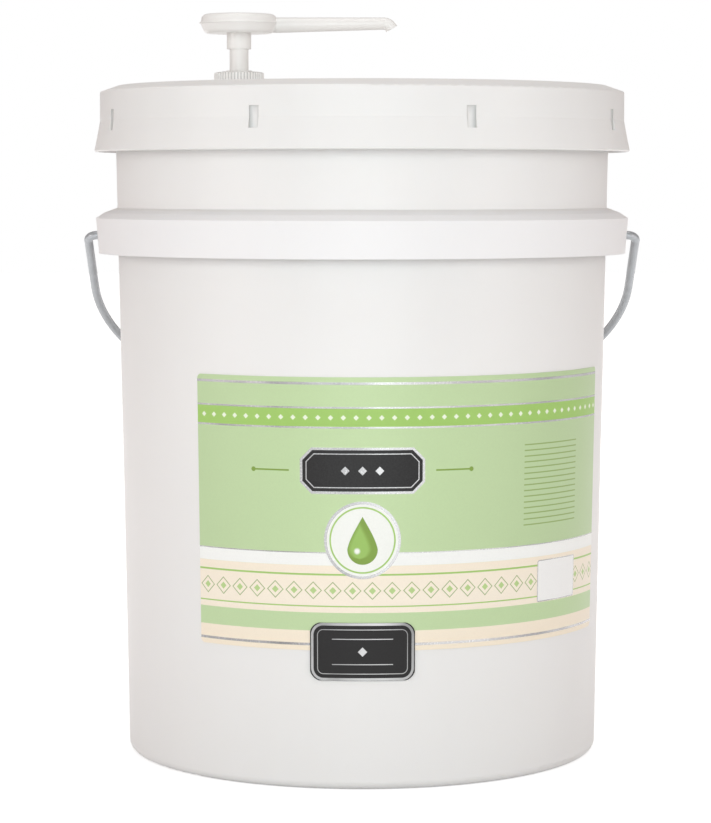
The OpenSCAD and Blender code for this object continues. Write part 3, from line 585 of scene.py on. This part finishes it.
def label_print(design, radius, low, high):
    """The whole front label, as one print. Its radius and heights are in millimetres."""
    paint = Paint("label_film")
    work = Print(paint, radius, low)
    for part in (print_ground, print_rows, print_plate, print_medallion, print_panels):
        part(work, design)
    half = (high - low) / 2
    work.silver(work.v.off(half) - half + 3.4, 0.7)
    fibre = paint.noise(FIBRE)
    work.ink(fibre.ramp(0.3, 0.7) * 0.04, FIBRE_GREY)
    normal = paint.bump(paint.noise(WAVE), WAVE_DEPTH, 0.2)
    normal = paint.bump(work.foil, FOIL_DEPTH, 0.6, normal)
    silver = work.foil_tone(design.foil, 0.05, 0.2)
    rough = fibre.ramp(0.3, 0.7, design.sheen - 0.03, design.sheen + 0.03) - work.foil * 0.08
    paint.set(Base_Color=paint.mix(work.foil, work.art, silver), Metallic=work.foil * 0.4,
              Roughness=rough, Normal=paint.bump(fibre, FIBRE_DEPTH, 0.5, normal),
              Specular_IOR_Level=0.25)
    return paint.material


def badge_print(design, radius, low, high, half):
    """The badge: black film with a silver border and a bare middle between two fine lines."""
    paint = Paint("badge_film")
    work = Print(paint, radius, (low + high) / 2)
    rim = panel_distance(work.u, work.v, (0.0, 0.0), (half, (high - low) / 2), 7.0)
    work.silver(rim + 0.8, 0.7)
    work.silver(rim + 3.8, 0.2)
    lines = ((work.v.size() - 7.0).size() - 0.22).inside(FINE_EDGE)
    work.gild(lines * (work.u.size() - 17.0).inside())
    work.gild((work.u.size() + work.v.size() - 2.6).inside())
    fibre = paint.noise(FIBRE)
    black = paint.mix(fibre, tint(design.black, 0.8), tint(design.black, 1.3))
    silver = work.foil_tone(design.foil, 0.03, 0.3)
    paint.set(Base_Color=paint.mix(work.foil, black, silver), Metallic=work.foil * 0.4,
              Roughness=fibre.ramp(0.3, 0.7, 0.34, 0.42), Specular_IOR_Level=0.25,
              Normal=paint.bump(work.foil, FOIL_DEPTH, 0.6))
    return paint.material


# ---- Helpers for pieces ----

# Points nearer than this, in metres, are the same point.
SAME_PLACE = 1e-7


def dress(material, *names):
    """Gives solids of the frame one material."""
    for name in names:
        node = frame["nodes"][name]
        node.data.materials.clear()
        node.data.materials.append(material)


def stroke_of(name):
    """How far a slide moves, in metres."""
    joint = next(each for each in frame["joints"] if each["name"] == name)
    return max(joint["range_m"])


def begin():
    """Leaves nothing selected, so that an operator acts on its own piece only."""
    bpy.ops.object.select_all(action="DESELECT")


def pick(piece, test):
    """Selects the vertices of a piece in edit mode whose place passes a test."""
    bpy.ops.mesh.select_all(action="DESELECT")
    bpy.ops.object.mode_set(mode="OBJECT")
    for vertex in piece.data.vertices:
        vertex.select = test(vertex.co)
    bpy.ops.object.mode_set(mode="EDIT")


def finish_piece(piece, name, body, material):
    """Names a piece, closes its transforms into its mesh and ties it to a body."""
    piece.name = piece.data.name = name
    bpy.ops.object.transform_apply(location=True, rotation=True, scale=True)
    piece.data.materials.append(material)
    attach(piece, body)


def wind(piece, steps, turns, pitch):
    """Winds an outline round the upright axis, and leaves it in edit mode, all selected."""
    screw = piece.modifiers.new("turns", "SCREW")
    screw.steps = screw.render_steps = steps
    screw.iterations, screw.screw_offset = turns, pitch
    bpy.ops.object.modifier_apply(modifier=screw.name)
    bpy.ops.object.mode_set(mode="EDIT")
    bpy.ops.mesh.select_all(action="SELECT")


def close_up(angle):
    """Merges doubles, turns faces outwards and smooths edges flatter than an angle in degrees."""
    bpy.ops.mesh.select_all(action="SELECT")
    bpy.ops.mesh.remove_doubles(threshold=SAME_PLACE)
    bpy.ops.mesh.normals_make_consistent(inside=False)
    bpy.ops.object.mode_set(mode="OBJECT")
    bpy.ops.object.shade_smooth_by_angle(angle=math.radians(angle))


def thread(centre, root, crest, low, pitch, turns):
    """A raised screw thread round an upright axis, run out to a point at both ends."""
    begin()
    bpy.ops.mesh.primitive_plane_add(size=1.0, rotation=(math.radians(90), 0, 0))
    piece = bpy.context.object
    bpy.ops.object.transform_apply(location=True, rotation=True, scale=True)
    bpy.ops.object.mode_set(mode="EDIT")
    bpy.ops.mesh.delete(type="ONLY_FACE")
    bpy.ops.mesh.select_all(action="SELECT")
    bpy.ops.transform.resize(value=(crest - root, 1.0, pitch * 0.55))
    bpy.ops.transform.translate(value=((root + crest) / 2, 0, 0))
    bpy.ops.mesh.select_mode(type="VERT")
    pick(piece, lambda place: place.x > (root + crest) / 2)
    bpy.ops.transform.resize(value=(1.0, 1.0, 0.35))
    bpy.ops.object.mode_set(mode="OBJECT")
    wind(piece, 60, turns, pitch)
    for end in (0.0, turns * pitch):
        pick(piece, lambda place: abs(place.y) < SAME_PLACE and place.x > 0
             and abs(place.z - end) < pitch * 0.4)
        bpy.ops.mesh.merge(type="CENTER")
    close_up(35)
    piece.location = (centre[0], centre[1], low)
    return piece


def coil(centre, radius, wire, low, high, turns):
    """A round wire wound round an upright axis between two heights, its cut ends closed."""
    begin()
    bpy.ops.mesh.primitive_circle_add(vertices=14, radius=wire, rotation=(math.radians(90), 0, 0))
    piece = bpy.context.object
    bpy.ops.object.transform_apply(location=True, rotation=True, scale=True)
    bpy.ops.object.mode_set(mode="EDIT")
    bpy.ops.mesh.select_all(action="SELECT")
    bpy.ops.transform.translate(value=(radius, 0, 0))
    bpy.ops.object.mode_set(mode="OBJECT")
    wind(piece, 40, turns, (high - low - 2 * wire) / turns)
    bpy.ops.mesh.fill_holes(sides=0)
    close_up(40)
    piece.location = (centre[0], centre[1], low + wire)
    return piece


def gate_mark(centre, radius, height, down=False):
    """A stepped round insert with the broken-off nub of the moulding gate in its middle."""
    begin()
    bpy.ops.mesh.primitive_cylinder_add(vertices=64, radius=radius, depth=height, location=centre)
    piece = bpy.context.object
    bpy.ops.object.mode_set(mode="EDIT")
    bpy.ops.mesh.select_mode(type="FACE")
    bpy.ops.mesh.select_all(action="DESELECT")
    bpy.ops.object.mode_set(mode="OBJECT")
    for face in piece.data.polygons:
        face.select = face.normal.z > 0.9
    bpy.ops.object.mode_set(mode="EDIT")
    # Steps inwards, each as a share of the radius and of the height: rim, groove, land and nub.
    for inwards, rise in ((0.12, 0.0), (0.10, -0.45), (0.36, 0.0), (0.08, 0.8), (0.12, 0.25)):
        bpy.ops.mesh.inset(thickness=radius * inwards, depth=height * rise)
    bpy.ops.object.mode_set(mode="OBJECT")
    bevel = piece.modifiers.new("edges", "BEVEL")
    bevel.width, bevel.segments, bevel.limit_method = height * 0.12, 2, "ANGLE"
    bpy.ops.object.modifier_apply(modifier=bevel.name)
    bpy.ops.object.shade_smooth_by_angle(angle=math.radians(35))
    if down:
        piece.rotation_euler = (math.pi, 0, 0)
    return piece


# ---- Operators ----

# Thickness of the gate marks, and how deep the thread is sunk into the neck, in metres.
GATE_DEPTH, SUNK = 0.0008, 0.0001


class PAIL_OT_body(bpy.types.Operator):
    """Dress the pail and the grip on its bail"""

    bl_idname = "pail.body"
    bl_label = "Pail"

    gate_height: length("Gate height", 0.0027, "Height of the gate boss's face over the ground")
    gate_radius: length("Gate radius", 0.005, "Radius of the mark round the gate")
    ring_radius: length("Ring radius", 0.1465, "Radius past which the handle ring begins")
    scuff_height: length("Scuffs", 0.003, "Height over the ground where the foot is rubbed most")

    def execute(self, context):
        finish = context.scene.pail_moulded
        white = moulded("white_hdpe", finish.body, finish.body_roughness, finish.grain,
                        scuff_height=self.scuff_height)
        dress(white, "pail")
        upper = moulded("rim_hdpe", finish.body, finish.body_roughness, finish.grain,
                        ring=(finish.ring, self.ring_radius * MM))
        dress(upper, "pail_rim")
        low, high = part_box("bail_grip")
        grip = moulded("grip_hdpe", finish.body, finish.body_roughness + 0.05, finish.grain,
                       seam=(low.y + high.y) / 2)
        dress(grip, "bail_grip")
        piece = gate_mark((0, 0, self.gate_height), self.gate_radius, GATE_DEPTH, down=True)
        finish_piece(piece, "pail_gate_mark", "pail", white)
        return {"FINISHED"}


class PAIL_OT_label(bpy.types.Operator):
    """Print the label and its badge"""

    bl_idname = "pail.label"
    bl_label = "Label"

    def execute(self, context):
        design = context.scene.pail_label
        low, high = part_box("label")
        radius = -low.y * MM
        dress(label_print(design, radius, low.z * MM, high.z * MM), "label")
        low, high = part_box("label_badge")
        half = radius * math.asin(high.x * MM / radius)
        dress(badge_print(design, radius, low.z * MM, high.z * MM, half), "label_badge")
        return {"FINISHED"}


class PAIL_OT_bail(bpy.types.Operator):
    """Plate the bail's wire"""

    bl_idname = "pail.bail"
    bl_label = "Bail"

    def execute(self, context):
        metal = context.scene.pail_metal
        dress(zinc("bail_steel", metal.wire, metal.wire_roughness, metal.wire_metal), "bail_wire")
        return {"FINISHED"}


class PAIL_OT_lid(bpy.types.Operator):
    """Dress the lid and its gaskets"""

    bl_idname = "pail.lid"
    bl_label = "Lid"

    neck_radius: length("Neck radius", 0.0123, "Outer radius of the neck under the thread")
    neck_lead: length("Neck lead", 0.0028, "How far the thread starts under the neck's top")
    crest: length("Crest", 0.00045, "How far the thread stands out of the neck")
    pitch: length("Pitch", 0.0032, "Rise of the thread in one turn")
    turns: IntProperty(name="Turns", description="Turns of the thread", default=2, min=1)
    panel_height: length("Panel height", 0.37315, "Height of the lid's panel over the ground")
    gate_radius: length("Gate radius", 0.007, "Radius of the mark round the gate")
    slots: IntProperty(name="Slots", description="Pry slots round the skirt", default=8, min=1)
    skirt_radius: length("Skirt radius", 0.15307, "Outer radius of the skirt")
    slot_height: length("Slot height", 0.36835, "Height of the slots' middle over the ground")
    slot_rise: length("Slot rise", 0.006, "Half the height of a slot")
    slot_width: length("Slot width", 0.0028, "Half the width of a slot")
    wad: colour("Wad", (0.78, 0.78, 0.75), "Colour of the neck's foam gasket")

    def execute(self, context):
        finish, metal = context.scene.pail_moulded, context.scene.pail_metal
        sizes = (self.skirt_radius, self.slot_height, self.slot_rise, self.slot_width)
        # The lid's pry slots get painted shade.
        white = moulded("lid_hdpe", finish.lid, finish.body_roughness, finish.grain,
                        pockets=(self.slots, *(size * MM for size in sizes)))
        dress(white, "lid")
        low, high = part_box("pump_closure")
        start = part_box("lid")[1].z - self.neck_lead - self.turns * self.pitch
        piece = thread((low + high) / 2, self.neck_radius - SUNK, self.neck_radius + self.crest,
                       start, self.pitch, self.turns)
        finish_piece(piece, "neck_thread", "lid", white)
        piece = gate_mark((0, 0, self.panel_height + GATE_DEPTH / 4), self.gate_radius, GATE_DEPTH)
        finish_piece(piece, "lid_gate_mark", "lid", white)
        dress(soft("seal_rubber", metal.rubber, roughness=0.6, cell=0.0006), "lid_gasket", "stem_seal")
        dress(soft("seal_foam", self.wad, roughness=0.8, cell=0.0004), "neck_gasket")
        return {"FINISHED"}


class PAIL_OT_pump(bpy.types.Operator):
    """Dress the pump outside and inside"""

    bl_idname = "pail.pump"
    bl_label = "Pump"

    rib: length("Rib", 0.0005, "Height of the closure's ribs")
    wire: length("Spring wire", 0.0006, "Radius of the spring's wire")
    turns: IntProperty(name="Spring turns", description="Turns of the spring", default=7, min=1)
    piston: colour("Piston", (0.80, 0.80, 0.80), "Colour of the piston's polyethylene")
    piston_roughness: share("Piston roughness", 0.45, "Roughness of the piston")

    def execute(self, context):
        finish, metal = context.scene.pail_moulded, context.scene.pail_metal

        def glossy(name, base, **extras):
            """The finely grained finish of the pump's outer parts."""
            return moulded(name, base, finish.pump_roughness, finish.grain * 0.6, relief=0.3,
                           depth=0.0, **extras)

        dress(glossy("pump_plastic", finish.pump), "piston_stem", "head_body", "head_cap")
        low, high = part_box("pump_closure")
        middle, crest = (low + high) / 2 * MM, (high.x - low.x) / 2 * MM
        ribs = (middle.x, middle.y, crest - self.rib * MM, crest)
        dress(glossy("closure_plastic", finish.closure, ribs=ribs), "pump_closure", "pump_collar")
        dress(glossy("spout_plastic", finish.pump, seam=0.0), "spout")
        barrel = clear_tube("barrel_plastic", finish.barrel)
        dress(barrel, "pump_housing", "spring_seat", "dip_tube")
        dress(moulded("piston_plastic", self.piston, self.piston_roughness, finish.grain), "piston")
        dress(zinc("ball_steel", metal.ball, metal.ball_roughness), "inlet_ball", "outlet_ball")

        low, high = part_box("return_spring")
        middle, radius = (low + high) / 2, (high.x - low.x) / 2 - self.wire
        spring = coil(middle, radius, self.wire, low.z, high.z, self.turns)
        finish_piece(spring, "coil_spring", "pump",
                     zinc("spring_steel", metal.spring, metal.spring_roughness))
        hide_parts("return_spring")
        1.0 - stroke_of("pump_press") / (high.z - low.z)
        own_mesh(spring)
        return {"FINISHED"}


def lamp(name, place, aim, size, power, tone=(1.0, 1.0, 1.0)):
    """A soft rectangular lamp that looks at a point."""
    bpy.ops.object.light_add(type="AREA", location=place)
    made = bpy.context.object
    made.name = name
    made.data.shape = "RECTANGLE"
    made.data.size, made.data.size_y = size
    made.data.energy = power
    made.data.color = tone
    made.rotation_euler = (Vector(aim) - Vector(place)).to_track_quat("-Z", "Y").to_euler()
    return made


def lay_floor():
    """A wide floor of pale paper, white where it is seen from afar and greyer round the pail."""
    bpy.ops.mesh.primitive_circle_add(vertices=96, radius=9.0, fill_type="NGON", location=(0, 0, 0))
    floor = bpy.context.object
    floor.name = "floor"
    near, shade_end, glow_end = 150.0, 450.0, 1100.0
    paint = Paint("floor_paper")
    out = reach(*paint.axes()[:2])
    grey = paint.mix(out.ramp(near, shade_end), (0.56, 0.56, 0.56), (0.79, 0.79, 0.79))
    diffuse = paint.add("ShaderNodeBsdfDiffuse")
    speck = paint.noise(0.004) * 0.05
    paint.feed(diffuse.inputs["Color"], paint.mix(speck, grey, (0.5, 0.5, 0.5)))
    path = paint.add("ShaderNodeLightPath")
    camera, glossy, clear = (Field(paint, path.outputs["Is %s Ray" % kind])
                             for kind in ("Camera", "Glossy", "Transmission"))
    seen = camera.larger(glossy).larger(clear)
    glow = paint.add("ShaderNodeEmission")
    paint.feed(glow.inputs["Strength"], seen * out.ramp(near, glow_end, 0.70, 0.86))
    both = paint.add("ShaderNodeAddShader")
    paint.join(diffuse.outputs[0], both.inputs[0])
    paint.join(glow.outputs[0], both.inputs[1])
    paint.join(both.outputs[0], paint.output.inputs["Surface"])
    paint.tree.nodes.remove(paint.shader)
    floor.data.materials.append(paint.material)


def light_sky(scene, strength, tone):
    """Soft light from all round, and plain white where the camera sees past the floor."""
    scene.world = bpy.data.worlds.new("studio")
    scene.world.use_nodes = True
    tree = scene.world.node_tree
    tree.nodes.clear()
    seen = tree.nodes.new("ShaderNodeLightPath").outputs["Is Camera Ray"]
    mixed = tree.nodes.new("ShaderNodeMix")
    mixed.data_type = "RGBA"
    mixed.inputs[COLOUR_A].default_value = (*tone, 1.0)
    mixed.inputs[COLOUR_B].default_value = (1.0, 1.0, 1.0, 1.0)
    level = tree.nodes.new("ShaderNodeMapRange")
    level.inputs["To Min"].default_value = strength
    level.inputs["To Max"].default_value = 1.0
    back = tree.nodes.new("ShaderNodeBackground")
    ending = tree.nodes.new("ShaderNodeOutputWorld")
    for source, target in ((seen, mixed.inputs["Factor"]),
                           (mixed.outputs[MIXED_COLOUR], back.inputs["Color"]),
                           (seen, level.inputs["Value"]),
                           (level.outputs["Result"], back.inputs["Strength"]),
                           (back.outputs[0], ending.inputs["Surface"])):
        tree.links.new(source, target)


def hang_lamps(stage):
    """A wide lamp in front, one on each side, one overhead and two behind without glints."""
    aim = (0, 0, 0.25)
    lamp("front_lamp", (0.0, -2.4, 0.62), aim, (1.8, 1.1), stage.front, stage.front_tone)
    for name, side, power in (("left_lamp", -1.9, stage.flank),
                              ("right_lamp", 1.9, stage.flank * stage.right_share)):
        lamp(name, (side, -1.1, 0.6), aim, (1.0, 1.0), power, stage.flank_tone)
    for name, side in (("rear_left_lamp", -1.0), ("rear_right_lamp", 1.0)):
        lamp(name, (side, 2.1, 0.8), aim, (1.0, 1.0), stage.rear).visible_glossy = False
    lamp("top_lamp", (0.0, -0.2, 2.6), (0, 0, 0.3), (1.6, 1.6), stage.top)


def place_camera(scene, stage):
    """The camera in front of the pail, looking a little down."""
    bpy.ops.object.camera_add(location=(stage.side, -stage.distance, stage.eye),
                              rotation=(math.radians(90) - stage.pitch, 0, 0))
    camera = bpy.context.object
    camera.name = "camera"
    camera.data.lens = stage.lens
    camera.data.sensor_width = 36.0
    camera.data.sensor_fit = "AUTO"
    camera.data.clip_start, camera.data.clip_end = 0.05, 60.0
    scene.camera = camera


class PAIL_OT_stage(bpy.types.Operator):
    """Set up the floor, the lamps and the camera"""

    bl_idname = "pail.stage"
    bl_label = "Stage"

    def execute(self, context):
        stage = context.scene.pail_stage
        lay_floor()
        light_sky(context.scene, stage.sky, stage.sky_tone)
        hang_lamps(stage)
        place_camera(context.scene, stage)
        context.scene.view_settings.view_transform = "Standard"
        return {"FINISHED"}


class PAIL_PT_sidebar(bpy.types.Panel):
    """Lists the pail's pieces and their settings"""

    bl_idname = "PAIL_PT_sidebar"
    bl_label = "Pail"
    bl_space_type = "VIEW_3D"
    bl_region_type = "UI"
    bl_category = "Pail"

    def draw(self, context):
        for kind in OPERATORS:
            self.layout.operator(kind.bl_idname)
        for name in GROUPS:
            box = self.layout.box()
            group = getattr(context.scene, name)
            for item in group.bl_rna.properties:
                if item.identifier not in ("rna_type", "name"):
                    box.prop(group, item.identifier)


OPERATORS = (PAIL_OT_body, PAIL_OT_label, PAIL_OT_bail, PAIL_OT_lid, PAIL_OT_pump, PAIL_OT_stage)
GROUPS = {"pail_moulded": MouldedFinish, "pail_metal": MetalFinish, "pail_label": LabelDesign,
          "pail_stage": StageLight}


def register():
    """Registers the settings, the operators and the panel."""
    for kind in (*GROUPS.values(), *OPERATORS, PAIL_PT_sidebar):
        bpy.utils.register_class(kind)
    for name, kind in GROUPS.items():
        setattr(bpy.types.Scene, name, PointerProperty(type=kind))


def unregister():
    """Takes the settings, the operators and the panel away again."""
    for name in GROUPS:
        delattr(bpy.types.Scene, name)
    for kind in (PAIL_PT_sidebar, *OPERATORS, *reversed(list(GROUPS.values()))):
        bpy.utils.unregister_class(kind)


def main():
    """Makes every piece."""
    register()
    begin()
    for kind in OPERATORS:
        group, action = kind.bl_idname.split(".")
        getattr(getattr(bpy.ops, group), action)()


if __name__ == "__main__":
    main()
